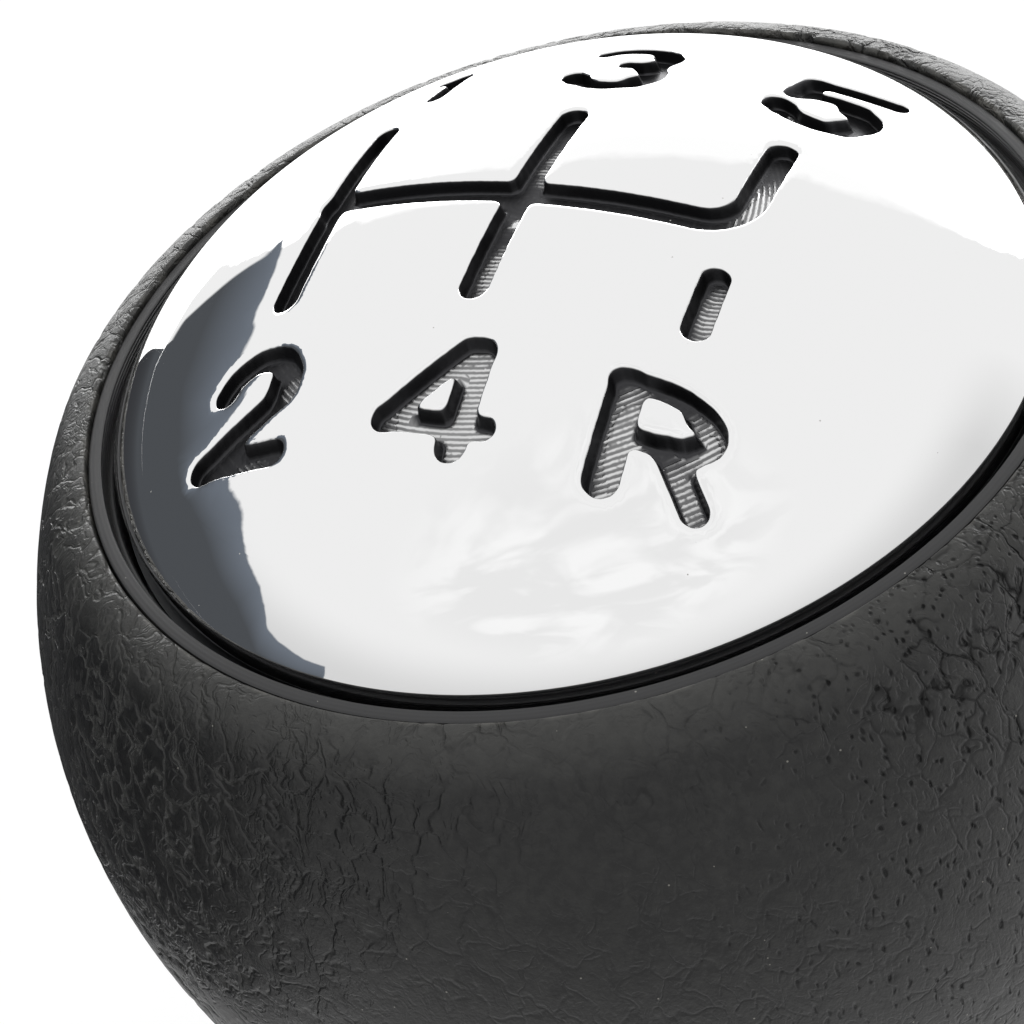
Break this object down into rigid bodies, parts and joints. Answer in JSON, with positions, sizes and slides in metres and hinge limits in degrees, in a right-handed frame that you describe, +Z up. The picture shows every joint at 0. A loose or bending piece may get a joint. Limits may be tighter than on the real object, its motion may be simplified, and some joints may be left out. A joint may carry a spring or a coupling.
{
  "type": "gear shift knob",
  "caption": "Ball shaped gear knob with a leather-grain grip, a domed chrome gate plate on top, a slim black trim ring and a threaded bush in the neck.",
  "frame": {"origin": "centre of the flat base face, on the lever axis, where the knob stands", "axes": "+Z up the lever axis towards the gate plate; +X from the first gear slot towards the fifth; +Y towards the odd gears"},
  "size_m": [0.05, 0.05, 0.0511],
  "materials": {
    "plate_chrome": "mirror chrome plate",
    "tape_foam": "closed cell foam",
    "ring_black": "satin moulded plastic",
    "carrier_nylon": "moulded nylon",
    "screw_zinc": "zinc plated",
    "grip_grain": "moulded leather grain, soft touch",
    "core_nylon": "glass filled nylon",
    "insert_brass": "turned",
    "collar_black": "satin moulded plastic"
  },
  "bodies": {
    "root": {"shift_plate": "plate_chrome", "plate_tape": "tape_foam", "trim_ring": "ring_black", "plate_carrier": "carrier_nylon", "carrier_screw_1": "screw_zinc", "carrier_screw_2": "screw_zinc", "carrier_screw_3": "screw_zinc", "grip_skin": "grip_grain", "core_body": "core_nylon", "thread_insert": "insert_brass", "neck_collar": "collar_black"}
  },
  "joints": []
}
